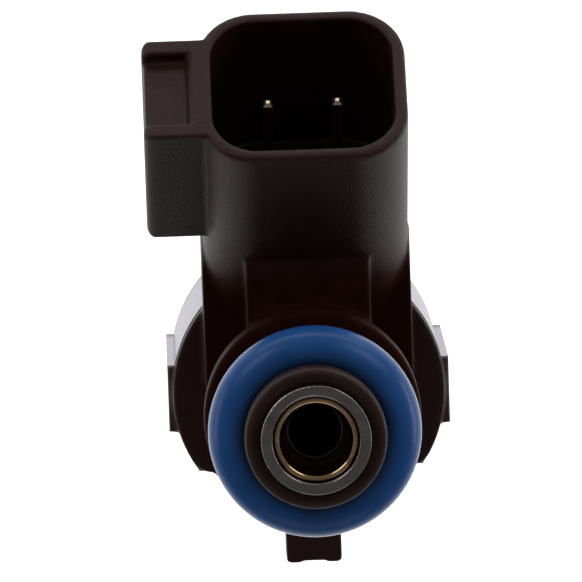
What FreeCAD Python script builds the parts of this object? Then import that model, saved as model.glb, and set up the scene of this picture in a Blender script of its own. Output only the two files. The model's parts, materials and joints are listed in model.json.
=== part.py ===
import FreeCAD, Part
import math
import os
import Sketcher

# Fuel injector, in millimetres. +Z runs along the injector axis towards the fuel inlet, the
# origin is the centre of the lower (manifold) seal, and the electrical connector leans to -Y.
# Every length below goes into the spreadsheet "dims", and the features are bound to its cells.
DIMS = {
    "zero": 0.0,
    # Seals: two equal O-rings, one at the rail end and one at the manifold end.
    "seal_wire_r": 1.76,
    "seal_mid_r": 5.525,
    "rail_seal_z": 48.65,
    "support_ring_r": 4.86,
    "support_ring_low_z": 50.45,
    "support_ring_top_z": 52.0,
    "support_ring_dish_r": 4.42,
    "support_ring_dish_z": 51.65,
    "ring_lip": 0.35,
    # Valve sleeve: one drawn tube from the inlet to the valve seat.
    "sleeve_r": 3.75,
    "sleeve_bore_r": 2.95,
    "sleeve_low_z": -4.4,
    "sleeve_top_z": 52.7,
    "sleeve_lip": 0.18,
    "sleeve_outer_lip": 0.08,
    "sleeve_gap_r": 3.4,
    "sleeve_gap_low_z": 19.0,
    "sleeve_gap_top_z": 21.4,
    "fit_r": 3.77,
    # Inlet filter.
    "collar_r": 2.94,
    "collar_bore_r": 2.45,
    "collar_low_z": 48.8,
    "collar_top_z": 52.35,
    "collar_lip": 0.23,
    "cage_r": 2.43,
    "cage_rib_bore_r": 2.05,
    "cage_rib_r": 2.38,
    "cage_bore_r": 1.95,
    "cage_ring_low_z": 48.2,
    "cage_ring_top_z": 49.4,
    "cage_cap_low_z": 38.6,
    "cage_cap_top_z": 40.0,
    "cage_rib_half_w": 0.35,
    "mesh_r": 1.92,
    "mesh_bore_r": 1.82,
    "mesh_low_z": 40.02,
    "mesh_top_z": 48.18,
    # Magnet circuit.
    "pole_r": 2.94,
    "pole_bore_r": 1.3,
    "pole_low_z": 20.1,
    "pole_top_z": 30.2,
    "armature_r": 2.89,
    "armature_low_z": 11.4,
    "armature_top_z": 20.02,
    "armature_pocket_z": 17.6,
    "armature_bore_r": 0.75,
    "stem_socket_r": 1.12,
    "stem_socket_top_z": 14.0,
    "spring_wire_r": 0.18,
    "spring_mid_r": 1.0,
    "spring_pitch": 1.15,
    "spring_top_z": 25.5,
    "adjuster_r": 1.29,
    "adjuster_bore_r": 0.65,
    "adjuster_top_z": 29.8,
    "adjuster_slot_half_w": 0.12,
    # Moving valve needle: stem tube and ball under the armature.
    "stem_r": 1.11,
    "stem_bore_r": 0.7,
    "stem_top_z": 13.99,
    "stem_low_z": 0.64,
    "stem_seat_z": 0.96,
    "stem_port_r": 0.35,
    "stem_port_z": 5.0,
    "stem_port_pitch": 2.5,
    "ball_r": 1.5,
    "ball_z": -0.4,
    # Valve seat and spray plate.
    "seat_r": 2.94,
    "seat_low_z": -3.6,
    "seat_top_z": 1.3,
    "seat_mouth_r": 2.3,
    "seat_guide_r": 1.53,
    "seat_guide_top_z": 0.35,
    "seat_cone_top_z": -1.0,
    "seat_cone_low_z": -1.93,
    "seat_exit_r": 0.6,
    "seat_groove_r": 0.32,
    "seat_groove_mid_r": 1.62,
    "spray_plate_r": 2.9,
    "spray_plate_low_z": -3.82,
    "spray_hole_r": 0.12,
    "spray_hole_mid_r": 0.34,
    # Tip cap that holds the lower O-ring.
    "tip_cap_r": 4.86,
    "tip_cap_low_z": -5.0,
    "tip_cap_floor_z": -4.42,
    "tip_cap_top_z": -1.9,
    "tip_cap_hole_r": 2.5,
    # Steel housing (outer magnet can).
    "housing_r": 9.6,
    "housing_bore_r": 8.43,
    "housing_neck_r": 5.6,
    "housing_neck_low_z": 1.85,
    "housing_lip": 0.6,
    "housing_root": 0.8,
    "housing_low_z": 14.65,
    "housing_floor_z": 16.0,
    "housing_top_z": 30.0,
    "housing_pad_x": 9.89,
    "housing_pad_inner_x": 8.9,
    "housing_pad_low_y": -2.08,
    "housing_pad_top_y": 2.63,
    "window_y": 5.5,
    "window_low_z": 22.65,
    "window_edge_y": 10.0,
    # Coil.
    "bobbin_core_r": 4.6,
    "bobbin_r": 8.1,
    "bobbin_low_z": 16.02,
    "bobbin_floor_z": 17.0,
    "bobbin_roof_z": 27.4,
    "bobbin_top_z": 28.56,
    "tower_half_w": 3.3,
    "tower_low_y": -7.6,
    "tower_top_y": -5.2,
    "tower_top_z": 29.98,
    "winding_bore_r": 4.62,
    "winding_r": 7.8,
    "winding_low_z": 17.02,
    "winding_top_z": 27.38,
    "lead_r": 0.12,
    "lead_hole_r": 0.16,
    "lead_y": -6.5,
    "washer_r": 8.41,
    "washer_low_z": 28.58,
    "washer_top_z": 29.98,
    "washer_slot_half_w": 3.35,
    "washer_slot_y": -5.15,
    "washer_slot_end_y": -9.0,
    # Connector, leaning 45 degrees from the injector axis.
    "connector_tilt": 45.0,
    "mouth_y": -23.24,
    "mouth_z": 43.66,
    "shroud_half_w": 7.12,
    "shroud_half_d": 6.46,
    "shroud_corner_r": 3.9,
    "shroud_lip": 0.34,
    "socket_half_w": 6.22,
    "socket_half_d": 5.585,
    "socket_corner_r": 3.1,
    "socket_depth": 13.4,
    "duct_length": 23.5,
    "latch_inner_x": 6.5,
    "latch_wall_x": 7.86,
    "latch_outer_x": 10.95,
    "latch_web_x": 10.82,
    "latch_half_d": 4.22,
    "latch_rail_inner": 3.05,
    "latch_length": 11.3,
    "latch_recess": 0.9,
    "latch_bevel": 0.4,
    "latch_corner_r": 0.55,
    "latch_clear_x": 11.5,
    # Moulded body.
    "cover_r": 8.78,
    "flange_r": 9.55,
    "flange_top_z": 31.1,
    "flange_corner_r": 1.7,
    "side_pad_top_z": 30.5,
    "barrel_r": 6.2,
    "ledge_r": 7.5,
    "ledge_low_z": 40.25,
    "ledge_top_z": 42.65,
    "clip_groove_r": 5.4,
    "clip_groove_top_z": 45.2,
    "clip_collar_r": 6.3,
    "clip_collar_top_z": 46.8,
    "block_half_w": 7.25,
    "block_far_y": -12.2,
    "block_near_y": -1.0,
    "block_low_z": 24.0,
    "block_top_z": 35.65,
    "shelf_half_w": 4.3,
    "shelf_near_y": -3.5,
    "shelf_far_y": -11.2,
    "shelf_top_z": 40.25,
    "shelf_low_z": 34.0,
    "panel_bore_r": 8.14,
    "panel_step_r": 8.44,
    "panel_step_z": 28.56,
    "panel_low_z": 22.67,
    "tab_half_w": 1.95,
    "tab_near_y": 8.46,
    "tab_far_y": 12.13,
    "tab_low_z": 27.0,
    "tab_corner_r": 0.25,
    "tab_notch_half_w": 0.9,
    "tab_notch_depth": 0.12,
    "housing_gap_r": 9.61,
    "housing_gap_low_z": 12.76,
    # Terminals: two square pins.
    "pin_x": 2.38,
    "pin_half_w": 0.32,
    "pin_offset": 0.14,
    "pin_setback": 2.04,
    "pin_end": 17.2,
    "pin_chamfer": 0.2,
    "pin_run_far_y": -11.45,
    "pin_run_low_z": 31.08,
    "pin_run_top_z": 31.72,
}
FULL_TURN = 360.0
PANEL_ANGLE = 98.0
CLOSE = 1e-4
STEM_PORTS = 3
SEAT_GROOVES = 5
SPRAY_HOLES = 4
CAGE_RIBS = 4


def vector(x, y, z=0.0):
    return FreeCAD.Vector(x, y, z)


def make_sheet(doc):
    """Writes every driving dimension into an aliased cell."""
    sheet = doc.addObject("Spreadsheet::Sheet", "dims")
    for row, (alias, size) in enumerate(DIMS.items(), start=1):
        sheet.set(f"A{row}", alias)
        sheet.set(f"B{row}", str(size))
        sheet.setAlias(f"B{row}", alias)
    doc.recompute()
    return sheet


def value(text):
    """Adds up names such as 'mouth_z - ball_r' with the sizes in DIMS."""
    total = 0.0
    sign = 1.0
    for word in text.split():
        if word == "+":
            sign = 1.0
        elif word == "-":
            sign = -1.0
        else:
            total += sign * DIMS[word]
            sign = 1.0
    return total


def cells(text):
    """The same sum as value(), written as an expression on the sheet's cells."""
    return " ".join(word if word in ("+", "-") else f"dims.{word}" for word in text.split())


def new_body(doc, name):
    body = doc.addObject("PartDesign::Body", name)
    body.Label = name
    return body


def new_sketch(body, plane, name, height=None):
    """A sketch on one of the body's own origin planes, lifted by height along its normal."""
    sketch = body.newObject("Sketcher::SketchObject", f"{body.Name}_{name}")
    origin_plane = [item for item in body.Origin.OriginFeatures if item.Role == plane][0]
    sketch.AttachmentSupport = [(origin_plane, "")]
    sketch.MapMode = "FlatFace"
    if height:
        sketch.setExpression(".AttachmentOffset.Base.z", cells(height))
    return sketch


def mouth_sketch(body, name):
    """A sketch on the connector's mouth plane: x is the row's X, y points to the inlet side."""
    sketch = new_sketch(body, "XY_Plane", name)
    tilt = FreeCAD.Rotation(vector(1, 0), DIMS["connector_tilt"])
    sketch.AttachmentOffset = FreeCAD.Placement(vector(0, 0), tilt)
    sketch.setExpression(".AttachmentOffset.Base.y", cells("mouth_y"))
    sketch.setExpression(".AttachmentOffset.Base.z", cells("mouth_z"))
    sketch.setExpression(".AttachmentOffset.Rotation.Angle", cells("connector_tilt"))
    return sketch


def bind(sketch, kind, args, text):
    """Adds one dimension to a sketch and ties it to the sheet."""
    index = sketch.addConstraint(Sketcher.Constraint(kind, *args, value(text)))
    sketch.setExpression(f"Constraints[{index}]", cells(text))


def polygon(sketch, corners):
    """Draws a closed outline whose corners are (x, y) pairs of sums of DIMS names."""
    points = [vector(value(x), value(y)) for x, y in corners]
    first = sketch.GeometryCount
    count = len(points)
    for i in range(count):
        sketch.addGeometry(Part.LineSegment(points[i], points[(i + 1) % count]), False)
    for i in range(count):
        joint = ("Coincident", first + i, 2, first + (i + 1) % count, 1)
        sketch.addConstraint(Sketcher.Constraint(*joint))
    for i, (x, y) in enumerate(corners):
        bind(sketch, "DistanceX", (-1, 1, first + i, 1), x)
        bind(sketch, "DistanceY", (-1, 1, first + i, 1), y)


def rectangle(sketch, low_x, high_x, low_y, high_y):
    polygon(sketch, [(low_x, low_y), (high_x, low_y), (high_x, high_y), (low_x, high_y)])


def circle(sketch, radius, x="zero", y="zero"):
    outline = Part.Circle(vector(value(x), value(y)), vector(0, 0, 1), value(radius))
    index = sketch.addGeometry(outline, False)
    bind(sketch, "Radius", (index,), radius)
    bind(sketch, "DistanceX", (-1, 1, index, 3), x)
    bind(sketch, "DistanceY", (-1, 1, index, 3), y)


def pad(body, sketch, length, backwards=False):
    feature = body.newObject("PartDesign::Pad", f"{sketch.Name}_pad")
    feature.Profile = sketch
    feature.Length = value(length)
    feature.setExpression("Length", cells(length))
    feature.Reversed = backwards
    sketch.Document.recompute()
    return feature


def pocket(body, sketch, length, backwards=False):
    feature = body.newObject("PartDesign::Pocket", f"{sketch.Name}_pocket")
    feature.Profile = sketch
    feature.Length = value(length)
    feature.setExpression("Length", cells(length))
    feature.Reversed = backwards
    sketch.Document.recompute()
    return feature


def revolve(body, sketch, angle=FULL_TURN):
    """Turns a sketch about the injector axis, evenly to both sides if angle is part of a turn."""
    feature = body.newObject("PartDesign::Revolution", f"{sketch.Name}_turn")
    feature.Profile = sketch
    feature.ReferenceAxis = (sketch, ["V_Axis"])
    feature.Angle = angle
    feature.Midplane = angle != FULL_TURN
    sketch.Document.recompute()
    return feature


def groove(body, sketch):
    feature = body.newObject("PartDesign::Groove", f"{sketch.Name}_groove")
    feature.Profile = sketch
    feature.ReferenceAxis = (sketch, ["V_Axis"])
    feature.Angle = FULL_TURN
    sketch.Document.recompute()
    return feature


def repeat(body, feature, count):
    """Copies a feature evenly round the injector axis."""
    pattern = body.newObject("PartDesign::PolarPattern", f"{feature.Name}_ring")
    pattern.Originals = [feature]
    axis = [item for item in body.Origin.OriginFeatures if item.Role == "Z_Axis"][0]
    pattern.Axis = (axis, [""])
    pattern.Angle = FULL_TURN
    pattern.Occurrences = count
    body.Tip = pattern
    body.Document.recompute()
    return pattern


def soften(body, feature, radius, wanted):
    """Fillets the edges of feature for which wanted(edge) is true."""
    names = [f"Edge{i}" for i, edge in enumerate(feature.Shape.Edges, start=1) if wanted(edge)]
    fillet = body.newObject("PartDesign::Fillet", f"{feature.Name}_soft")
    fillet.Base = (feature, names)
    fillet.Radius = DIMS[radius]
    fillet.setExpression("Radius", cells(radius))
    body.Document.recompute()
    return fillet


def bevel(body, feature, size, wanted):
    """Chamfers the edges of feature for which wanted(edge) is true."""
    names = [f"Edge{i}" for i, edge in enumerate(feature.Shape.Edges, start=1) if wanted(edge)]
    chamfer = body.newObject("PartDesign::Chamfer", f"{feature.Name}_bevel")
    chamfer.Base = (feature, names)
    chamfer.setExpression("Size", cells(size))
    body.Document.recompute()
    return chamfer


def ring_at(radius, height):
    """An edge test: a circle about the injector axis of this radius at this height."""
    def wanted(edge):
        curve = edge.Curve
        if not isinstance(curve, Part.Circle):
            return False
        on_axis = abs(curve.Center.x) + abs(curve.Center.y) < 1e-6
        return on_axis and abs(curve.Radius - radius) < 1e-4 and abs(curve.Center.z - height) < 1e-4
    return wanted


def turned(doc, name, corners, lips=()):
    """A solid of revolution: corners are (radius, height); lips are (radius, height, fillet)."""
    body = new_body(doc, name)
    sketch = new_sketch(body, "XZ_Plane", "profile")
    polygon(sketch, corners)
    feature = revolve(body, sketch)
    for radius, height, size in lips:
        feature = soften(body, feature, size, ring_at(value(radius), value(height)))
    return body


def make_o_ring(doc, name, height):
    body = new_body(doc, name)
    sketch = new_sketch(body, "XZ_Plane", "section")
    circle(sketch, "seal_wire_r", "seal_mid_r", height)
    revolve(body, sketch)
    return body


def make_support_ring(doc):
    return turned(doc, "rail_support_ring", [
        ("fit_r", "support_ring_low_z"),
        ("support_ring_r", "support_ring_low_z"),
        ("support_ring_r", "support_ring_top_z"),
        ("support_ring_dish_r", "support_ring_top_z"),
        ("fit_r", "support_ring_dish_z"),
    ], [("support_ring_r", "support_ring_top_z", "ring_lip")])


def make_valve_sleeve(doc):
    """The drawn tube, thinned from outside where the magnet gap must not be bridged."""
    return turned(doc, "valve_sleeve", [
        ("sleeve_bore_r", "sleeve_low_z"),
        ("sleeve_r", "sleeve_low_z"),
        ("sleeve_r", "sleeve_gap_low_z"),
        ("sleeve_gap_r", "sleeve_gap_low_z"),
        ("sleeve_gap_r", "sleeve_gap_top_z"),
        ("sleeve_r", "sleeve_gap_top_z"),
        ("sleeve_r", "sleeve_top_z"),
        ("sleeve_bore_r", "sleeve_top_z"),
    ], [
        ("sleeve_bore_r", "sleeve_top_z", "sleeve_lip"),
        ("sleeve_r", "sleeve_top_z", "sleeve_outer_lip"),
    ])


def make_filter_collar(doc):
    return turned(doc, "filter_collar", [
        ("collar_bore_r", "collar_low_z"),
        ("collar_r", "collar_low_z"),
        ("collar_r", "collar_top_z"),
        ("collar_bore_r", "collar_top_z"),
    ], [
        ("collar_bore_r", "collar_top_z", "collar_lip"),
        ("collar_r", "collar_top_z", "collar_lip"),
    ])


def make_filter_cage(doc):
    """Plastic cage: a top ring in the collar, four ribs, and a closed end cap."""
    body = new_body(doc, "filter_cage")
    ring = new_sketch(body, "XZ_Plane", "ring")
    rectangle(ring, "cage_bore_r", "cage_r", "cage_ring_low_z", "cage_ring_top_z")
    revolve(body, ring)
    rib = new_sketch(body, "XY_Plane", "rib", "cage_cap_low_z")
    rectangle(rib, "cage_rib_bore_r", "cage_rib_r", "zero - cage_rib_half_w", "cage_rib_half_w")
    rib_pad = pad(body, rib, "cage_ring_top_z - cage_cap_low_z")
    repeat(body, rib_pad, CAGE_RIBS)
    cap = new_sketch(body, "XZ_Plane", "cap")
    rectangle(cap, "zero", "cage_r", "cage_cap_low_z", "cage_cap_top_z")
    revolve(body, cap)
    return body


def make_filter_mesh(doc):
    return turned(doc, "filter_mesh", [
        ("mesh_bore_r", "mesh_low_z"),
        ("mesh_r", "mesh_low_z"),
        ("mesh_r", "mesh_top_z"),
        ("mesh_bore_r", "mesh_top_z"),
    ])


def make_inner_pole(doc):
    return turned(doc, "inner_pole", [
        ("pole_bore_r", "pole_low_z"),
        ("pole_r", "pole_low_z"),
        ("pole_r", "pole_top_z"),
        ("pole_bore_r", "pole_top_z"),
    ])


def make_adjusting_sleeve(doc):
    """Slotted tube pressed into the pole; its depth sets the spring load."""
    body = turned(doc, "adjusting_sleeve", [
        ("adjuster_bore_r", "spring_top_z"),
        ("adjuster_r", "spring_top_z"),
        ("adjuster_r", "adjuster_top_z"),
        ("adjuster_bore_r", "adjuster_top_z"),
    ])
    slot = new_sketch(body, "XY_Plane", "slot", "spring_top_z")
    rectangle(slot, "zero", "pole_r", "zero - adjuster_slot_half_w", "adjuster_slot_half_w")
    pocket(body, slot, "adjuster_top_z - spring_top_z", backwards=True)
    return body


def make_return_spring(doc):
    """Helical spring between the armature's pocket and the adjusting sleeve."""
    body = new_body(doc, "return_spring")
    section = new_sketch(body, "XZ_Plane", "wire")
    circle(section, "spring_wire_r", "spring_mid_r", "armature_pocket_z + spring_wire_r")
    coil = body.newObject("PartDesign::AdditiveHelix", "return_spring_coil")
    coil.Profile = section
    coil.ReferenceAxis = (section, ["V_Axis"])
    coil.Mode = "pitch-height-angle"
    coil.setExpression("Pitch", cells("spring_pitch"))
    travel = "spring_top_z - armature_pocket_z - spring_wire_r - spring_wire_r"
    coil.setExpression("Height", cells(travel))
    doc.recompute()
    return body


def make_armature(doc):
    """Sliding iron core: spring pocket above, fuel bore, and stem socket below."""
    return turned(doc, "armature", [
        ("stem_socket_r", "armature_low_z"),
        ("armature_r", "armature_low_z"),
        ("armature_r", "armature_top_z"),
        ("pole_bore_r", "armature_top_z"),
        ("pole_bore_r", "armature_pocket_z"),
        ("armature_bore_r", "armature_pocket_z"),
        ("armature_bore_r", "stem_socket_top_z"),
        ("stem_socket_r", "stem_socket_top_z"),
    ])


def make_valve_stem(doc):
    """Hollow stem with side ports that let the fuel out above the ball."""
    body = turned(doc, "valve_stem", [
        ("stem_bore_r", "stem_seat_z"),
        ("stem_r", "stem_low_z"),
        ("stem_r", "stem_top_z"),
        ("stem_bore_r", "stem_top_z"),
    ])
    for i in range(STEM_PORTS):
        port = new_sketch(body, "XZ_Plane" if i % 2 else "YZ_Plane", f"port_{i}", "zero - stem_r")
        circle(port, "stem_port_r", "zero", "stem_port_z" + " + stem_port_pitch" * i)
        cut = pocket(body, port, "stem_r + stem_r", backwards=True)
        body.Tip = cut
    return body


def make_valve_ball(doc):
    ball = doc.addObject("Part::Sphere", "valve_ball")
    ball.setExpression("Radius", cells("ball_r"))
    ball.setExpression(".Placement.Base.z", cells("ball_z"))
    return ball


def make_valve_seat(doc):
    """Seat body: inlet mouth, ball guide with flow grooves, 90 degree seat cone, exit bore."""
    body = turned(doc, "valve_seat", [
        ("seat_exit_r", "seat_low_z"),
        ("seat_r", "seat_low_z"),
        ("seat_r", "seat_top_z"),
        ("seat_mouth_r", "seat_top_z"),
        ("seat_guide_r", "seat_guide_top_z"),
        ("seat_guide_r", "seat_cone_top_z"),
        ("seat_exit_r", "seat_cone_low_z"),
    ])
    channel = new_sketch(body, "XY_Plane", "channel", "seat_cone_top_z")
    circle(channel, "seat_groove_r", "seat_groove_mid_r")
    cut = pocket(body, channel, "seat_top_z - seat_cone_top_z", backwards=True)
    repeat(body, cut, SEAT_GROOVES)
    return body


def make_spray_plate(doc):
    body = new_body(doc, "spray_plate")
    disc = new_sketch(body, "XY_Plane", "disc", "spray_plate_low_z")
    circle(disc, "spray_plate_r")
    pad(body, disc, "seat_low_z - spray_plate_low_z")
    hole = new_sketch(body, "XY_Plane", "hole", "seat_low_z")
    circle(hole, "spray_hole_r", "spray_hole_mid_r")
    cut = pocket(body, hole, "seat_low_z - spray_plate_low_z")
    repeat(body, cut, SPRAY_HOLES)
    return body


def make_tip_cap(doc):
    return turned(doc, "tip_cap", [
        ("tip_cap_hole_r", "tip_cap_low_z"),
        ("tip_cap_r", "tip_cap_low_z"),
        ("tip_cap_r", "tip_cap_top_z"),
        ("fit_r", "tip_cap_top_z"),
        ("fit_r", "tip_cap_floor_z"),
        ("tip_cap_hole_r", "tip_cap_floor_z"),
    ], [("tip_cap_r", "tip_cap_low_z", "ring_lip")])


def make_steel_housing(doc):
    """Magnet can: neck, floor, and a wall with two side pads and a window at the back."""
    body = turned(doc, "steel_housing", [
        ("fit_r", "housing_neck_low_z"),
        ("housing_neck_r", "housing_neck_low_z"),
        ("housing_neck_r", "housing_low_z"),
        ("housing_r", "housing_low_z"),
        ("housing_r", "housing_top_z"),
        ("housing_bore_r", "housing_top_z"),
        ("housing_bore_r", "housing_floor_z"),
        ("fit_r", "housing_floor_z"),
    ], [
        ("housing_r", "housing_low_z", "housing_lip"),
        ("housing_neck_r", "housing_low_z", "housing_root"),
        ("housing_neck_r", "housing_neck_low_z", "ring_lip"),
    ])
    for side, start, end in (
        ("left", "zero - housing_pad_x", "zero - housing_pad_inner_x"),
        ("right", "housing_pad_inner_x", "housing_pad_x"),
    ):
        outline = new_sketch(body, "XY_Plane", f"{side}_pad", "housing_low_z")
        rectangle(outline, start, end, "housing_pad_low_y", "housing_pad_top_y")
        pad(body, outline, "housing_top_z - housing_low_z")
    window = new_sketch(body, "XY_Plane", "window", "window_low_z")
    rectangle(window, "zero - window_edge_y", "window_edge_y", "window_y", "window_edge_y")
    pocket(body, window, "housing_top_z - window_low_z", backwards=True)
    return body


def make_coil_bobbin(doc):
    """Spool with a tower at the connector side that carries the terminals' feet."""
    body = turned(doc, "coil_bobbin", [
        ("fit_r", "bobbin_low_z"),
        ("bobbin_r", "bobbin_low_z"),
        ("bobbin_r", "bobbin_floor_z"),
        ("bobbin_core_r", "bobbin_floor_z"),
        ("bobbin_core_r", "bobbin_roof_z"),
        ("bobbin_r", "bobbin_roof_z"),
        ("bobbin_r", "bobbin_top_z"),
        ("fit_r", "bobbin_top_z"),
    ])
    tower = new_sketch(body, "XY_Plane", "tower", "bobbin_roof_z")
    rectangle(tower, "zero - tower_half_w", "tower_half_w", "tower_low_y", "tower_top_y")
    pad(body, tower, "tower_top_z - bobbin_roof_z")
    for side in (-1, 1):
        hole = new_sketch(body, "XY_Plane", "left_lead" if side < 0 else "right_lead", "tower_top_z")
        circle(hole, "lead_hole_r", "zero - pin_x" if side < 0 else "pin_x", "lead_y")
        pocket(body, hole, "tower_top_z - bobbin_roof_z")
    return body


def make_coil_winding(doc):
    return turned(doc, "coil_winding", [
        ("winding_bore_r", "winding_low_z"),
        ("winding_r", "winding_low_z"),
        ("winding_r", "winding_top_z"),
        ("winding_bore_r", "winding_top_z"),
    ])


def make_coil_lead(doc, name, x):
    lead = doc.addObject("Part::Cylinder", name)
    lead.setExpression("Radius", cells("lead_r"))
    lead.setExpression("Height", cells("tower_top_z - winding_top_z"))
    lead.setExpression(".Placement.Base.x", cells(x))
    lead.setExpression(".Placement.Base.y", cells("lead_y"))
    lead.setExpression(".Placement.Base.z", cells("winding_top_z"))
    return lead


def make_flux_washer(doc):
    """Steel washer that closes the can above the coil, slotted for the bobbin's tower."""
    body = turned(doc, "flux_washer", [
        ("fit_r", "washer_low_z"),
        ("washer_r", "washer_low_z"),
        ("washer_r", "washer_top_z"),
        ("fit_r", "washer_top_z"),
    ])
    slot = new_sketch(body, "XY_Plane", "slot", "washer_low_z")
    rectangle(slot, "zero - washer_slot_half_w", "washer_slot_half_w", "washer_slot_end_y", "washer_slot_y")
    pocket(body, slot, "washer_top_z - washer_low_z", backwards=True)
    return body


def in_plane(point, normal):
    """An edge test: both ends lie in the plane through point with this normal."""
    def wanted(edge):
        return all(abs((vertex.Point - point).dot(normal)) < CLOSE for vertex in edge.Vertexes)
    return wanted


def connector_axis():
    """Unit vector out of the connector's mouth."""
    tilt = math.radians(DIMS["connector_tilt"])
    return vector(0, -math.sin(tilt), math.cos(tilt))


def mouth_centre():
    return vector(0, DIMS["mouth_y"], DIMS["mouth_z"])


def make_terminal(doc, name, inner_x, outer_x):
    """Square pin from the socket down the neck, bent to a foot on the bobbin's tower."""
    body = new_body(doc, name)
    run = mouth_sketch(body, "run")
    rectangle(run, inner_x, outer_x, "zero - pin_offset - pin_half_w", "pin_half_w - pin_offset")
    pad(body, run, "pin_end", backwards=True)
    end = mouth_sketch(body, "end")
    rectangle(end, inner_x, outer_x, "zero - pin_offset - pin_half_w", "pin_half_w - pin_offset")
    pocket(body, end, "pin_setback")
    foot = new_sketch(body, "YZ_Plane", "foot", inner_x)
    polygon(foot, [
        ("pin_run_far_y", "pin_run_low_z"),
        ("lead_y - pin_half_w", "pin_run_low_z"),
        ("lead_y - pin_half_w", "tower_top_z"),
        ("lead_y + pin_half_w", "tower_top_z"),
        ("lead_y + pin_half_w", "pin_run_top_z"),
        ("pin_run_far_y", "pin_run_top_z"),
    ])
    pin = pad(body, foot, "pin_half_w + pin_half_w")
    tip = mouth_centre() - connector_axis() * DIMS["pin_setback"]
    bevel(body, pin, "pin_chamfer", in_plane(tip, connector_axis()))
    return body


def add_barrel(body):
    """Turned core of the moulding: cover over the can, barrel, ledge, clip groove, collar."""
    sketch = new_sketch(body, "XZ_Plane", "barrel")
    polygon(sketch, [
        ("fit_r", "housing_top_z"),
        ("cover_r", "housing_top_z"),
        ("cover_r", "flange_top_z"),
        ("barrel_r", "flange_top_z"),
        ("barrel_r", "ledge_low_z"),
        ("ledge_r", "ledge_low_z"),
        ("ledge_r", "ledge_top_z"),
        ("clip_groove_r", "ledge_top_z"),
        ("clip_groove_r", "clip_groove_top_z"),
        ("clip_collar_r", "clip_groove_top_z"),
        ("clip_collar_r", "clip_collar_top_z"),
        ("fit_r", "clip_collar_top_z"),
    ])
    barrel = revolve(body, sketch)
    for radius, height in (
        ("ledge_r", "ledge_top_z"),
        ("clip_collar_r", "clip_groove_top_z"),
        ("clip_collar_r", "clip_collar_top_z"),
    ):
        barrel = soften(body, barrel, "ring_lip", ring_at(DIMS[radius], DIMS[height]))


def add_flange(body):
    """Round flange over the can's rim, cut straight across at the back."""
    sketch = new_sketch(body, "XY_Plane", "flange", "housing_top_z")
    radius = DIMS["flange_r"]
    back = DIMS["window_y"]
    end_x = math.sqrt(radius ** 2 - back ** 2)
    start = math.atan2(back, -end_x)
    stop = math.atan2(back, end_x) + 2 * math.pi
    arc = Part.ArcOfCircle(Part.Circle(vector(0, 0), vector(0, 0, 1), radius), start, stop)
    sketch.addGeometry(arc, False)
    sketch.addGeometry(Part.LineSegment(vector(end_x, back), vector(-end_x, back)), False)
    sketch.addConstraint(Sketcher.Constraint("Coincident", 0, 3, -1, 1))
    sketch.addConstraint(Sketcher.Constraint("Coincident", 0, 2, 1, 1))
    sketch.addConstraint(Sketcher.Constraint("Coincident", 1, 2, 0, 1))
    sketch.addConstraint(Sketcher.Constraint("Horizontal", 1))
    bind(sketch, "Radius", (0,), "flange_r")
    bind(sketch, "DistanceY", (-1, 1, 1, 1), "window_y")
    flange = pad(body, sketch, "flange_top_z - housing_top_z")
    corner = vector(end_x, back)

    def is_corner(edge):
        flat = [vector(abs(vertex.X), vertex.Y) for vertex in edge.Vertexes]
        upright = len(flat) == 2 and abs(edge.Vertexes[0].Z - edge.Vertexes[1].Z) > CLOSE
        return upright and all(point.distanceToPoint(corner) < CLOSE for point in flat)

    soften(body, flange, "flange_corner_r", is_corner)


def rounded_outline(sketch, half_w, half_d, corner):
    """A centred rectangle with equal rounded corners."""
    w, d, r = DIMS[half_w], DIMS[half_d], DIMS[corner]
    sides = [
        (vector(r - w, -d), vector(w - r, -d)),
        (vector(w, r - d), vector(w, d - r)),
        (vector(w - r, d), vector(r - w, d)),
        (vector(-w, d - r), vector(-w, r - d)),
    ]
    centres = [vector(w - r, r - d), vector(w - r, d - r), vector(r - w, d - r), vector(r - w, r - d)]
    for start, end in sides:
        sketch.addGeometry(Part.LineSegment(start, end), False)
    for i, centre in enumerate(centres):
        from_angle = (i - 1) * math.pi / 2
        ring = Part.Circle(centre, vector(0, 0, 1), r)
        sketch.addGeometry(Part.ArcOfCircle(ring, from_angle, from_angle + math.pi / 2), False)
    for i in range(4):
        arc = 4 + i
        sketch.addConstraint(Sketcher.Constraint("Tangent", i, 2, arc, 1))
        sketch.addConstraint(Sketcher.Constraint("Tangent", arc, 2, (i + 1) % 4, 1))
        sketch.addConstraint(Sketcher.Constraint("Vertical" if i % 2 else "Horizontal", i))
    for arc in (5, 6, 7):
        sketch.addConstraint(Sketcher.Constraint("Equal", 4, arc))
    bind(sketch, "Radius", (4,), corner)
    bind(sketch, "DistanceY", (-1, 1, 0, 1), f"zero - {half_d}")
    bind(sketch, "DistanceX", (-1, 1, 1, 1), half_w)
    bind(sketch, "DistanceY", (-1, 1, 2, 1), half_d)
    bind(sketch, "DistanceX", (-1, 1, 3, 1), f"zero - {half_w}")


def add_duct(body):
    """The slanted connector duct, as one rounded bar before its socket is cut."""
    sketch = mouth_sketch(body, "duct")
    rounded_outline(sketch, "shroud_half_w", "shroud_half_d", "shroud_corner_r")
    duct = pad(body, sketch, "duct_length", backwards=True)
    soften(body, duct, "shroud_lip", in_plane(mouth_centre(), connector_axis()))


def add_neck(body):
    """Upright block and shelf that tie the duct to the barrel and the flange."""
    block = new_sketch(body, "XY_Plane", "block", "block_low_z")
    rectangle(block, "zero - block_half_w", "block_half_w", "block_far_y", "block_near_y")
    pad(body, block, "block_top_z - block_low_z")
    shelf = new_sketch(body, "XY_Plane", "shelf", "shelf_low_z")
    rectangle(shelf, "zero - shelf_half_w", "shelf_half_w", "shelf_far_y", "shelf_near_y")
    pad(body, shelf, "shelf_top_z - shelf_low_z")


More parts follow.
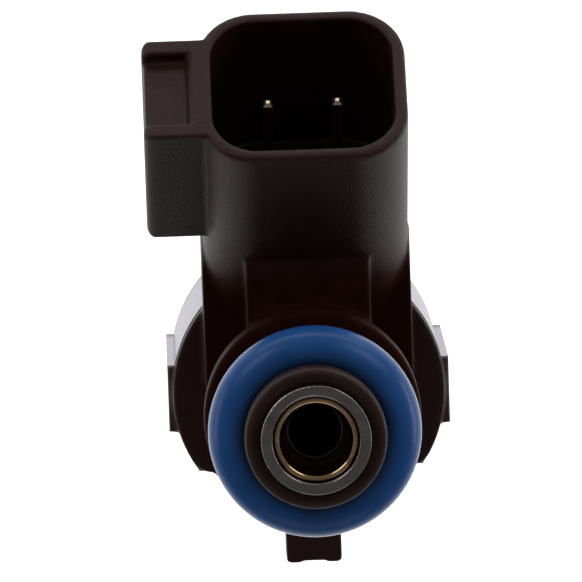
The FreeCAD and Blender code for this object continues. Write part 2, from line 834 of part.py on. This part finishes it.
def add_latch(body):
    """Latch block beside the mouth: two rails, a set-back web, and a recess in its end."""
    block = mouth_sketch(body, "latch")
    rectangle(block, "latch_inner_x", "latch_outer_x", "zero - latch_half_d", "latch_half_d")
    latch = pad(body, block, "latch_length", backwards=True)

    def is_outer(edge):
        return all(abs(vertex.X - DIMS["latch_outer_x"]) < CLOSE for vertex in edge.Vertexes)

    soften(body, latch, "latch_corner_r", is_outer)


def cut_latch(body):
    web = mouth_sketch(body, "latch_web")
    rectangle(web, "latch_web_x", "latch_clear_x", "zero - latch_rail_inner", "latch_rail_inner")
    pocket(body, web, "latch_length")
    recess = mouth_sketch(body, "latch_recess")
    rectangle(recess, "latch_wall_x", "latch_clear_x", "zero - latch_rail_inner", "latch_rail_inner")
    recessed = pocket(body, recess, "latch_recess")
    at_mouth = in_plane(mouth_centre(), connector_axis())

    def is_wall_top(edge):
        beside = all(abs(vertex.X - DIMS["latch_wall_x"]) < CLOSE for vertex in edge.Vertexes)
        return beside and at_mouth(edge)

    bevel(body, recessed, "latch_bevel", is_wall_top)


def add_side_pads(body):
    for side, start, end in (
        ("left", "zero - housing_pad_x", "zero - housing_pad_inner_x"),
        ("right", "housing_pad_inner_x", "housing_pad_x"),
    ):
        outline = new_sketch(body, "XY_Plane", f"{side}_pad", "housing_top_z")
        rectangle(outline, start, end, "housing_pad_low_y", "housing_pad_top_y")
        pad(body, outline, "side_pad_top_z - housing_top_z")


def cut_core(body):
    """Clears the valve sleeve and the steel can out of the moulding."""
    sketch = new_sketch(body, "XZ_Plane", "core")
    polygon(sketch, [
        ("zero", "housing_gap_low_z"),
        ("housing_gap_r", "housing_gap_low_z"),
        ("housing_gap_r", "housing_top_z"),
        ("fit_r", "housing_top_z"),
        ("fit_r", "sleeve_top_z"),
        ("zero", "sleeve_top_z"),
    ])
    groove(body, sketch)


def cut_socket(body):
    sketch = mouth_sketch(body, "socket")
    rounded_outline(sketch, "socket_half_w", "socket_half_d", "socket_corner_r")
    pocket(body, sketch, "socket_depth")


def add_window_panel(body):
    """Skin that closes the can's window, and the tab that stands out of it."""
    panel = new_sketch(body, "YZ_Plane", "panel")
    polygon(panel, [
        ("panel_bore_r", "panel_low_z"),
        ("cover_r", "panel_low_z"),
        ("cover_r", "housing_top_z"),
        ("panel_step_r", "housing_top_z"),
        ("panel_step_r", "panel_step_z"),
        ("panel_bore_r", "panel_step_z"),
    ])
    revolve(body, panel, PANEL_ANGLE)
    tab = new_sketch(body, "XY_Plane", "tab", "tab_low_z")
    polygon(tab, [
        ("zero - tab_half_w", "tab_near_y"),
        ("tab_half_w", "tab_near_y"),
        ("tab_half_w", "tab_far_y"),
        ("tab_notch_half_w", "tab_far_y"),
        ("tab_notch_half_w", "tab_far_y - tab_notch_depth"),
        ("zero - tab_notch_half_w", "tab_far_y - tab_notch_depth"),
        ("zero - tab_notch_half_w", "tab_far_y"),
        ("zero - tab_half_w", "tab_far_y"),
    ])
    tab_pad = pad(body, tab, "flange_top_z - tab_low_z")
    corner = vector(DIMS["tab_half_w"], DIMS["tab_far_y"])

    def is_corner(edge):
        return all(
            vector(abs(vertex.X), vertex.Y).distanceToPoint(corner) < CLOSE for vertex in edge.Vertexes
        )

    soften(body, tab_pad, "tab_corner_r", is_corner)


def make_moulding(doc, terminals):
    """Black moulded body with the connector, less the room taken by the terminals."""
    body = new_body(doc, "moulding_body")
    add_barrel(body)
    add_flange(body)
    add_duct(body)
    add_neck(body)
    add_latch(body)
    add_side_pads(body)
    cut_core(body)
    cut_socket(body)
    cut_latch(body)
    add_window_panel(body)
    pins = doc.addObject("Part::MultiFuse", "terminal_pair")
    pins.Shapes = terminals
    moulding = doc.addObject("Part::Cut", "moulding")
    moulding.Base = body
    moulding.Tool = pins
    doc.recompute()
    return moulding


def make_all(doc):
    terminals = [
        make_terminal(doc, name, f"{middle} - pin_half_w", f"{middle} + pin_half_w")
        for name, middle in (("terminal_left", "zero - pin_x"), ("terminal_right", "pin_x"))
    ]
    return terminals + [
        make_moulding(doc, terminals),
        make_valve_sleeve(doc),
        make_o_ring(doc, "rail_o_ring", "rail_seal_z"),
        make_o_ring(doc, "manifold_o_ring", "zero"),
        make_support_ring(doc),
        make_tip_cap(doc),
        make_filter_collar(doc),
        make_filter_cage(doc),
        make_filter_mesh(doc),
        make_inner_pole(doc),
        make_adjusting_sleeve(doc),
        make_return_spring(doc),
        make_armature(doc),
        make_valve_stem(doc),
        make_valve_ball(doc),
        make_valve_seat(doc),
        make_spray_plate(doc),
        make_steel_housing(doc),
        make_flux_washer(doc),
        make_coil_bobbin(doc),
        make_coil_winding(doc),
        make_coil_lead(doc, "coil_lead_left", "zero - pin_x"),
        make_coil_lead(doc, "coil_lead_right", "pin_x"),
    ]


def export(nodes):
    os.makedirs("parts", exist_ok=True)
    for node in nodes:
        shape = node.Shape
        broken = shape.isNull() or not shape.isValid()
        if broken or {"Invalid", "Error"} & set(node.State):
            raise RuntimeError(f"{node.Label} did not build")
        if len(shape.Solids) != 1:
            raise RuntimeError(f"{node.Label} has {len(shape.Solids)} solids")
        shape.exportStep(f"parts/{node.Label}.step")


def main():
    doc = FreeCAD.newDocument("fuel_injector")
    make_sheet(doc)
    nodes = make_all(doc)
    doc.recompute()
    for item in doc.Objects:
        if {"Invalid", "Error"} & set(item.State):
            raise RuntimeError(f"{item.Name} is in state {item.State}")
    export(nodes)


main()
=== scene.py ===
import json
import math
import bpy
from mathutils import Matrix, Vector


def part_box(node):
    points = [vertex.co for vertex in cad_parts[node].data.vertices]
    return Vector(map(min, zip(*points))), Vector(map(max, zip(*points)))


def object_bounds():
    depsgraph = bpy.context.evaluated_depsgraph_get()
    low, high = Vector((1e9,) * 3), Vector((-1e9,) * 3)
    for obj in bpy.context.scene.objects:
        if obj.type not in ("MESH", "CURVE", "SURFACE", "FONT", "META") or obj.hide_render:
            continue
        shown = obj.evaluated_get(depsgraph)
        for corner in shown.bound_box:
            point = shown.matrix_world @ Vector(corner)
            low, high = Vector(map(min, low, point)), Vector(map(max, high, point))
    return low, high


MM = 0.001
WHITE = (1, 1, 1)

# The wave texture's phase is this many radians per unit of its scaled coordinate.
WAVE_PHASE = 20.0
# Each measure of openness sends out this many rays.
OPENNESS_RAYS = 8

# Rounding of the moulding's edges: remeshed at this size, then relaxed this many times.
SKIN_VOXEL = 0.12 * MM
SKIN_SMOOTHING = 14

# Sheen of the mouldings, as specular level, lowered in corners as painted shade: lowest up to the
# first openness, full from the second.
CORNER_SHEEN = 0.03
OPEN_SHEEN = 0.30
CORNER_OPENNESS = 0.15
OPEN_OPENNESS = 0.75

# The sheen is scaled on the moulding's neck and from its flange down, as painted shade and painted
# highlight by place. It blends between these places.
NECK_SHEEN = 0.1
FLANGE_SHEEN = 1.5
NECK_Y = -9.0 * MM
CONNECTOR_Y = -12.5 * MM
NECK_Z = 32.0 * MM
FLANGE_Z = 30.5 * MM
RING_SHEEN = 1.4

# The steel can's colour is darkened round the shoulder where its neck starts, as painted shade, and
# it is dimmer at grazing angles.
CAN_NECK_LENGTH = 12.8 * MM
CAN_RIM_SHADE = 2.2 * MM
CAN_EDGE_TINT = (0.77, 0.75, 0.79)

# Oily film on the seals.
FILM_WEIGHT = 0.5
FILM_ROUGHNESS = 0.03
FILM_IOR = 1.15
RUBBER_SHEEN = 0.25

# Camera: a long lens near the injector axis, a little to the connector's side of it.
SENSOR = 36.0
LENS = 500.8
CAMERA_DISTANCE = 549.7 * MM
CAMERA_AZIMUTH = 6.56
CAMERA_ELEVATION = 81.92
CAMERA_ROLL = 171.495
AIM_OFFSET = Vector((1.316, -9.696, 0.0)) * MM
CLIP_NEAR = 0.05
CLIP_FAR = 10.0

# Floor: bright enough near the part to read as white, fading towards its far edge.
FLOOR_SIZE = 2.0
FLOOR_GAP = 0.2 * MM
FLOOR_FADE = 0.20
FLOOR_NEAR_GLOW = 1.25
FLOOR_FAR_GLOW = 0.25
FLOOR_WHITE = 0.8

# Studio, in metres and watts: every light aims at the neck, on the connector's side.
LIGHT_AIM = (0, -0.005, 0.045)
HORIZON_PLACE = (0.0, -0.50, 0.03)
HORIZON_SIZE = (0.8, 0.12)
HORIZON_POWER = 0.75
KEY_X = 0.28
KEY_Y = -0.32
KEY_Z = 0.30
KEY_SIZE = (0.22, 0.22)
KEY_POWER = 0.30
SIDE_X = 0.45
SIDE_Y = -0.02
SIDE_Z = 0.05
SIDE_SIZE = (0.3, 0.08)
SIDE_LEFT_POWER = 0.20
SIDE_RIGHT_POWER = 0.35
BACK_PLACE = (0.0, 0.45, 0.28)
BACK_SIZE = (0.5, 0.25)
BACK_POWER = 0.18
ROOM_GREY = 0.13

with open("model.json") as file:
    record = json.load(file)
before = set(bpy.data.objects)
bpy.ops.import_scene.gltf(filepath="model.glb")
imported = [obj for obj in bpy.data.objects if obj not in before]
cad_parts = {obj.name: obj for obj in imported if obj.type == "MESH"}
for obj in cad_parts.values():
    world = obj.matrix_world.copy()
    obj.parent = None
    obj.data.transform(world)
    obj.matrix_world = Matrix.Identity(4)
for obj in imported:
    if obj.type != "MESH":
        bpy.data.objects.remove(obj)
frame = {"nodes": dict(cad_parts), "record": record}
CAD_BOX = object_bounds()


# ---------------------------------------------------------------- node helpers

def new_material(name):
    """A new material with its node tree and its main shader."""
    material = bpy.data.materials.new(name)
    material.use_nodes = True
    tree = material.node_tree
    return material, tree, tree.nodes["Principled BSDF"]


def add(tree, kind, **properties):
    """Adds a shader node and sets its properties."""
    node = tree.nodes.new(kind)
    for name, value in properties.items():
        setattr(node, name, value)
    return node


def object_noise(tree, scale, detail, roughness=0.5, stretch=(1, 1, 1)):
    """Noise in the row frame; scale is in features per metre."""
    coords = add(tree, "ShaderNodeTexCoord")
    mapping = add(tree, "ShaderNodeMapping")
    mapping.inputs["Scale"].default_value = stretch
    noise = add(tree, "ShaderNodeTexNoise")
    noise.inputs["Scale"].default_value = scale
    noise.inputs["Detail"].default_value = detail
    noise.inputs["Roughness"].default_value = roughness
    tree.links.new(coords.outputs["Object"], mapping.inputs["Vector"])
    tree.links.new(mapping.outputs["Vector"], noise.inputs["Vector"])
    return noise.outputs["Fac"]


def ramp(tree, factor, first, last):
    """Colour ramp between two (position, colour) stops."""
    node = add(tree, "ShaderNodeValToRGB")
    for element, (position, colour) in zip(node.color_ramp.elements, (first, last)):
        element.position = position
        element.color = (*colour, 1.0)
    tree.links.new(factor, node.inputs["Fac"])
    return node.outputs["Color"]


def spread(tree, factor, low, high, start=0.0, end=1.0):
    """Maps a factor running from start to end onto low..high."""
    node = add(tree, "ShaderNodeMapRange")
    node.inputs["From Min"].default_value = start
    node.inputs["From Max"].default_value = end
    node.inputs["To Min"].default_value = low
    node.inputs["To Max"].default_value = high
    tree.links.new(factor, node.inputs["Value"])
    return node.outputs["Result"]


def place(tree, axis):
    """X, Y or Z of the shaded point in the row frame, in metres."""
    coords = add(tree, "ShaderNodeTexCoord")
    split = add(tree, "ShaderNodeSeparateXYZ")
    tree.links.new(coords.outputs["Object"], split.inputs["Vector"])
    return split.outputs[axis]


def combine(tree, operation, first, second):
    """One of the math node's operations on two values."""
    node = add(tree, "ShaderNodeMath", operation=operation)
    tree.links.new(first, node.inputs[0])
    tree.links.new(second, node.inputs[1])
    return node.outputs["Value"]


def multiply(tree, first, second):
    """Product of two colours."""
    node = add(tree, "ShaderNodeMix", data_type="RGBA", blend_type="MULTIPLY")
    sockets = {socket.identifier: socket for socket in [*node.inputs, *node.outputs]}
    sockets["Factor_Float"].default_value = 1.0
    tree.links.new(first, sockets["A_Color"])
    tree.links.new(second, sockets["B_Color"])
    return sockets["Result_Color"]


def bump(tree, shader, height, strength, distance):
    """Relief from a height factor; distance is its depth in metres."""
    node = add(tree, "ShaderNodeBump")
    node.inputs["Strength"].default_value = strength
    node.inputs["Distance"].default_value = distance
    tree.links.new(height, node.inputs["Height"])
    tree.links.new(node.outputs["Normal"], shader.inputs["Normal"])


def openness(tree, reach):
    """0 deep in a corner or socket, 1 out in the open; reach is how far it looks, in metres."""
    node = add(tree, "ShaderNodeAmbientOcclusion", samples=OPENNESS_RAYS)
    node.inputs["Distance"].default_value = reach
    return node.outputs["AO"]


# ---------------------------------------------------------------- kinds of material

def moulded_plastic(name, dark, light, roughness, reach=3.0 * MM, neck=1.0, flange=1.0):
    """Glass-filled moulding: fine eroded grain, with painted shade that lowers its sheen in corners.

    neck scales the sheen above the flange, clear of the connector; flange scales it lower down. This
    scaling by place is painted light on the sheen.
    """
    material, tree, shader = new_material(name)
    clouds = object_noise(tree, 600.0, detail=3.0)
    grain = object_noise(tree, 6500.0, detail=2.0, roughness=0.6)
    tree.links.new(ramp(tree, clouds, (0.3, dark), (0.75, light)), shader.inputs["Base Color"])
    gloss = spread(tree, grain, roughness - 0.08, roughness + 0.12)
    tree.links.new(gloss, shader.inputs["Roughness"])
    open_air = openness(tree, reach)
    # Painted shade: the sheen drops where the moulding is hemmed in by corners.
    sheen = spread(tree, open_air, CORNER_SHEEN, OPEN_SHEEN, CORNER_OPENNESS, OPEN_OPENNESS)
    # Painted shade and painted highlight: the sheen is scaled by place, dimmed on the neck and raised
    # from the flange down.
    beside = spread(tree, place(tree, "Y"), 1.0, neck, start=CONNECTOR_Y, end=NECK_Y)
    under = spread(tree, place(tree, "Z"), flange, neck, start=FLANGE_Z, end=NECK_Z)
    place_painted_sheen = combine(tree, "MAXIMUM", beside, under)
    tree.links.new(combine(tree, "MULTIPLY", sheen, place_painted_sheen), shader.inputs["Specular IOR Level"])
    bump(tree, shader, grain, 0.9, 0.05 * MM)
    return material


def rubber(name, dark, light, roughness):
    """Dyed elastomer with an oily film; its colour is darkened where it meets its neighbours, as
    painted shade.
    """
    material, tree, shader = new_material(name)
    clouds = object_noise(tree, 420.0, detail=2.0)
    pores = object_noise(tree, 3600.0, detail=2.0)
    mottle = ramp(tree, clouds, (0.3, dark), (0.7, light))
    # Painted shade: darker colour where the seal is hemmed in by its neighbours.
    shade = ramp(tree, openness(tree, 2.2 * MM), (0.2, (0.6, 0.16, 0.09)), (0.9, WHITE))
    tree.links.new(multiply(tree, mottle, shade), shader.inputs["Base Color"])
    gloss = spread(tree, pores, roughness - 0.04, roughness + 0.04)
    tree.links.new(gloss, shader.inputs["Roughness"])
    bump(tree, shader, pores, 0.1, 0.01 * MM)
    shader.inputs["Specular IOR Level"].default_value = RUBBER_SHEEN
    shader.inputs["Coat Weight"].default_value = FILM_WEIGHT
    shader.inputs["Coat Roughness"].default_value = FILM_ROUGHNESS
    shader.inputs["Coat IOR"].default_value = FILM_IOR
    return material


def metal(name, dark, light, roughness, corner_shade_colour=None):
    """Drawn or turned metal: fine marks round the axis, with painted shade darkening its colour in
    corners if asked.
    """
    material, tree, shader = new_material(name)
    shader.inputs["Metallic"].default_value = 1.0
    marks = object_noise(tree, 900.0, detail=5.0, stretch=(1, 1, 12))
    colour = ramp(tree, marks, (0.25, dark), (0.75, light))
    if corner_shade_colour:
        # Painted shade: the colour darkens in corners and bores.
        shade = ramp(tree, openness(tree, 1.0 * MM), (0.25, corner_shade_colour), (0.9, WHITE))
        colour = multiply(tree, colour, shade)
    tree.links.new(colour, shader.inputs["Base Color"])
    gloss = spread(tree, marks, roughness - 0.05, roughness + 0.08)
    tree.links.new(gloss, shader.inputs["Roughness"])
    bump(tree, shader, marks, 0.06, 0.006 * MM)
    return material


def plated_can(name, dark, light, roughness):
    """Plated metal with painted shade darkening its colour round the can's shoulder."""
    material = metal(name, dark, light, roughness)
    tree = material.node_tree
    shader = tree.nodes["Principled BSDF"]
    shader.inputs["Specular Tint"].default_value = (*CAN_EDGE_TINT, 1)
    plain = shader.inputs["Base Color"].links[0].from_socket
    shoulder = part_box("steel_housing")[0].z + CAN_NECK_LENGTH
    height = place(tree, "Z")
    above = spread(tree, height, 0.0, 1.0, start=shoulder, end=shoulder + CAN_RIM_SHADE)
    below = spread(tree, height, 0.0, 1.0, start=shoulder, end=shoulder - CAN_RIM_SHADE)
    # Painted shade: a dark band round the shoulder, 0 at the shoulder and 1 clear of it.
    clear_of_rim_shade = combine(tree, "MAXIMUM", above, below)
    shade = ramp(tree, clear_of_rim_shade, (0.25, (0.04, 0.04, 0.05)), (1.0, WHITE))
    tree.links.new(multiply(tree, plain, shade), shader.inputs["Base Color"])
    return material


def ribbed_metal(name, dark, light, roughness, pitch):
    """Metal whose surface is a stack of round wires, pitch metres apart along Z; its colour darkens
    between the wires as painted shade.
    """
    material, tree, shader = new_material(name)
    shader.inputs["Metallic"].default_value = 1.0
    shader.inputs["Roughness"].default_value = roughness
    coords = add(tree, "ShaderNodeTexCoord")
    wave = add(tree, "ShaderNodeTexWave", bands_direction="Z")
    wave.inputs["Scale"].default_value = math.tau / (WAVE_PHASE * pitch)
    tree.links.new(coords.outputs["Object"], wave.inputs["Vector"])
    ribs = wave.outputs["Fac"]
    # Painted shade: the colour runs dark in the grooves between wires and light on their crowns.
    tree.links.new(ramp(tree, ribs, (0.0, dark), (0.6, light)), shader.inputs["Base Color"])
    bump(tree, shader, ribs, 0.8, pitch / 2)
    return material


# ---------------------------------------------------------------- the part's finishes

def make_plastics():
    return {
        "black_moulding": moulded_plastic(
            "black_moulding",
            dark=(0.024, 0.005, 0.003),
            light=(0.033, 0.009, 0.006),
            roughness=0.46,
            neck=NECK_SHEEN,
            flange=FLANGE_SHEEN,
        ),
        "ring_plastic": moulded_plastic(
            "ring_plastic",
            dark=(0.030, 0.010, 0.007),
            light=(0.044, 0.018, 0.014),
            roughness=0.42,
            reach=0.5 * MM,
            neck=RING_SHEEN,
            flange=RING_SHEEN,
        ),
        "cage_plastic": moulded_plastic(
            "cage_plastic",
            dark=(0.012, 0.003, 0.001),
            light=(0.016, 0.004, 0.002),
            roughness=0.6,
        ),
        "bobbin_plastic": moulded_plastic(
            "bobbin_plastic",
            dark=(0.55, 0.50, 0.40),
            light=(0.7, 0.65, 0.55),
            roughness=0.5,
        ),
        "blue_rubber": rubber(
            "blue_rubber",
            dark=(0.012, 0.085, 0.30),
            light=(0.018, 0.105, 0.36),
            roughness=0.34,
        ),
    }


def make_steels():
    return {
        "drawn_steel": metal(
            "drawn_steel",
            dark=(0.24, 0.21, 0.20),
            light=(0.38, 0.34, 0.325),
            roughness=0.22,
        ),
        "can_steel": plated_can(
            "can_steel",
            dark=(0.22, 0.21, 0.23),
            light=(0.36, 0.35, 0.37),
            roughness=0.26,
        ),
        "magnet_iron": metal(
            "magnet_iron",
            dark=(0.25, 0.25, 0.26),
            light=(0.42, 0.42, 0.43),
            roughness=0.35,
        ),
        "spring_steel": metal(
            "spring_steel",
            dark=(0.3, 0.3, 0.31),
            light=(0.5, 0.5, 0.51),
            roughness=0.3,
        ),
        "bearing_steel": metal(
            "bearing_steel",
            dark=(0.6, 0.6, 0.61),
            light=(0.8, 0.8, 0.81),
            roughness=0.12,
        ),
        "mesh_steel": ribbed_metal(
            "mesh_steel",
            dark=(0.02, 0.015, 0.01),
            light=(0.16, 0.14, 0.12),
            roughness=0.35,
            pitch=0.12 * MM,
        ),
    }


def make_copper_metals():
    return {
        "brass_collar": metal(
            "brass_collar",
            dark=(0.50, 0.31, 0.16),
            light=(0.85, 0.60, 0.37),
            roughness=0.12,
            # Painted shade darkens the collar's bore and corners.
            corner_shade_colour=(0.12, 0.06, 0.03),
        ),
        "copper_wire": ribbed_metal(
            "copper_wire",
            dark=(0.20, 0.06, 0.02),
            light=(0.8, 0.38, 0.18),
            roughness=0.3,
            pitch=0.25 * MM,
        ),
        "terminal_bronze": metal(
            "terminal_bronze",
            dark=(0.66, 0.48, 0.30),
            light=(0.92, 0.78, 0.60),
            roughness=0.2,
        ),
    }


def make_materials():
    """Every finish of the part, by the name of its material slot."""
    return {**make_plastics(), **make_steels(), **make_copper_metals()}


def finish_cad_nodes(materials):
    """Gives each CAD node the detailed material of its slot."""
    for part in frame["record"]["subparts"]:
        node = frame["nodes"][part["node"]]
        for slot in node.material_slots:
            slot.material = materials[part["material_slot"]]


def soften_moulding():
    """Rounds every edge of the moulded body slightly, as its mould would."""
    moulding = frame["nodes"]["moulding"]
    skin = moulding.modifiers.new("skin", "REMESH")
    skin.mode = "VOXEL"
    skin.voxel_size = SKIN_VOXEL
    skin.use_smooth_shade = True
    relax = moulding.modifiers.new("relax", "SMOOTH")
    relax.factor = 0.5
    relax.iterations = SKIN_SMOOTHING


# ---------------------------------------------------------------- stage

def make_floor_white():
    """Pale floor paint that glows near the part like a lit backdrop and falls off further out."""
    material, tree, shader = new_material("floor_white")
    shader.inputs["Base Color"].default_value = (FLOOR_WHITE, FLOOR_WHITE, FLOOR_WHITE, 1)
    shader.inputs["Roughness"].default_value = 0.9
    shader.inputs["Emission Color"].default_value = (*WHITE, 1)
    coords = add(tree, "ShaderNodeTexCoord")
    mapping = add(tree, "ShaderNodeMapping")
    mapping.inputs["Scale"].default_value = (1 / FLOOR_FADE, 1 / FLOOR_FADE, 0)
    glow = add(tree, "ShaderNodeTexGradient", gradient_type="SPHERICAL")
    tree.links.new(coords.outputs["Object"], mapping.inputs["Vector"])
    tree.links.new(mapping.outputs["Vector"], glow.inputs["Vector"])
    strength = spread(tree, glow.outputs["Fac"], FLOOR_FAR_GLOW, FLOOR_NEAR_GLOW)
    tree.links.new(strength, shader.inputs["Emission Strength"])
    return material


def make_floor():
    low, _ = CAD_BOX
    place_below = (0, 0, low.z - FLOOR_GAP)
    bpy.ops.mesh.primitive_plane_add(size=FLOOR_SIZE, location=place_below)
    floor = bpy.context.object
    floor.name = "floor"
    floor.data.materials.append(make_floor_white())


def area_light(name, position, size, power):
    """White soft box facing the part."""
    data = bpy.data.lights.new(name, "AREA")
    data.shape = "RECTANGLE"
    data.size, data.size_y = size
    data.energy = power
    light = bpy.data.objects.new(name, data)
    light.location = position
    light.rotation_mode = "QUATERNION"
    light.rotation_quaternion = (Vector(LIGHT_AIM) - Vector(position)).to_track_quat("-Z", "Y")
    bpy.context.scene.collection.objects.link(light)


def make_lights():
    area_light("horizon_soft", HORIZON_PLACE, HORIZON_SIZE, HORIZON_POWER)
    area_light("key_left", (KEY_X, KEY_Y, KEY_Z), KEY_SIZE, KEY_POWER)
    area_light("key_right", (-KEY_X, KEY_Y, KEY_Z), KEY_SIZE, KEY_POWER)
    area_light("side_left", (SIDE_X, SIDE_Y, SIDE_Z), SIDE_SIZE, SIDE_LEFT_POWER)
    area_light("side_right", (-SIDE_X, SIDE_Y, SIDE_Z), SIDE_SIZE, SIDE_RIGHT_POWER)
    area_light("back_soft", BACK_PLACE, BACK_SIZE, BACK_POWER)


def make_world():
    world = bpy.data.worlds.new("studio")
    world.use_nodes = True
    background = world.node_tree.nodes["Background"]
    background.inputs["Color"].default_value = (ROOM_GREY, ROOM_GREY, ROOM_GREY, 1)
    bpy.context.scene.world = world


def make_camera():
    """Looks down past the rail seal from the given azimuth and elevation, then rolls."""
    low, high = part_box("rail_o_ring")
    target = (low + high) / 2 + AIM_OFFSET
    azimuth = math.radians(CAMERA_AZIMUTH)
    elevation = math.radians(CAMERA_ELEVATION)
    reach = math.cos(elevation)
    back = Vector((math.sin(azimuth) * reach, -math.cos(azimuth) * reach, math.sin(elevation)))
    level = Vector((0, 0, 1)).cross(back).normalized()
    upright = Matrix((level, back.cross(level), back)).transposed()
    turn = upright @ Matrix.Rotation(math.radians(CAMERA_ROLL), 3, "Z")
    data = bpy.data.cameras.new("camera")
    data.lens = LENS
    data.sensor_width = SENSOR
    data.clip_start = CLIP_NEAR
    data.clip_end = CLIP_FAR
    camera = bpy.data.objects.new("camera", data)
    camera.rotation_mode = "QUATERNION"
    camera.rotation_quaternion = turn.to_quaternion()
    camera.location = target + back * CAMERA_DISTANCE
    bpy.context.scene.collection.objects.link(camera)
    bpy.context.scene.camera = camera


finish_cad_nodes(make_materials())
soften_moulding()
make_world()
make_floor()
make_lights()
make_camera()
bpy.context.scene.view_settings.view_transform = "Standard"
